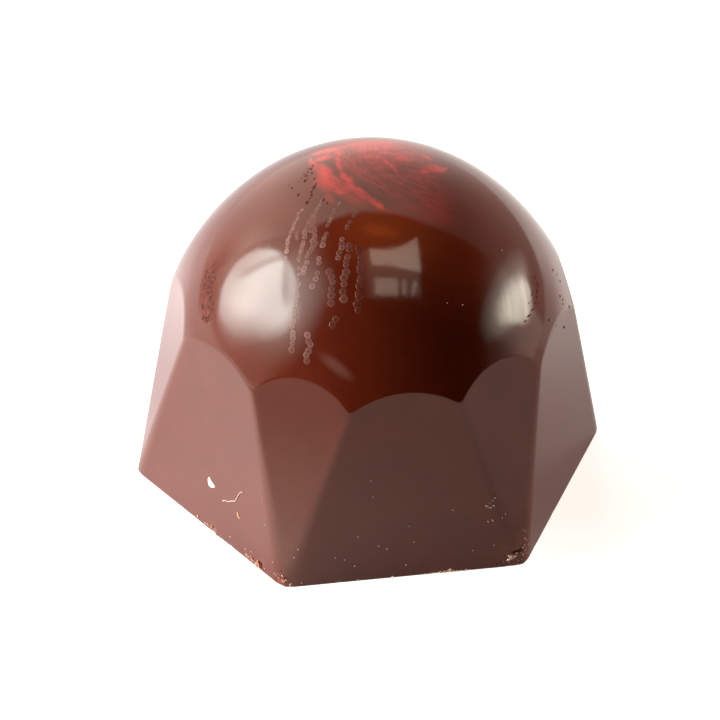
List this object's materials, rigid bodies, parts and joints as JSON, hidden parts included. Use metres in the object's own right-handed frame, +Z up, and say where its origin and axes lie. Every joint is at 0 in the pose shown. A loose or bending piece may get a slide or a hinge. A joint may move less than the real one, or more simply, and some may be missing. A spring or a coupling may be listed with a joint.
{
  "type": "chocolate praline",
  "caption": "Moulded dark chocolate praline: a glossy dome over flat facets on a hexagonal base, with a red swirl on top, eaten as a sweet.",
  "frame": {"origin": "centre of the flat base, on the surface that the praline stands on", "axes": "+Z up through the top of the dome, +X towards a corner of the hexagonal base, and a side facet faces -Y"},
  "size_m": [0.0298, 0.026, 0.0214],
  "materials": {
    "dark_chocolate": "glossy tempered dark chocolate, as it comes out of a polished mould"
  },
  "bodies": {
    "root": {"praline": "dark_chocolate"}
  },
  "joints": []
}
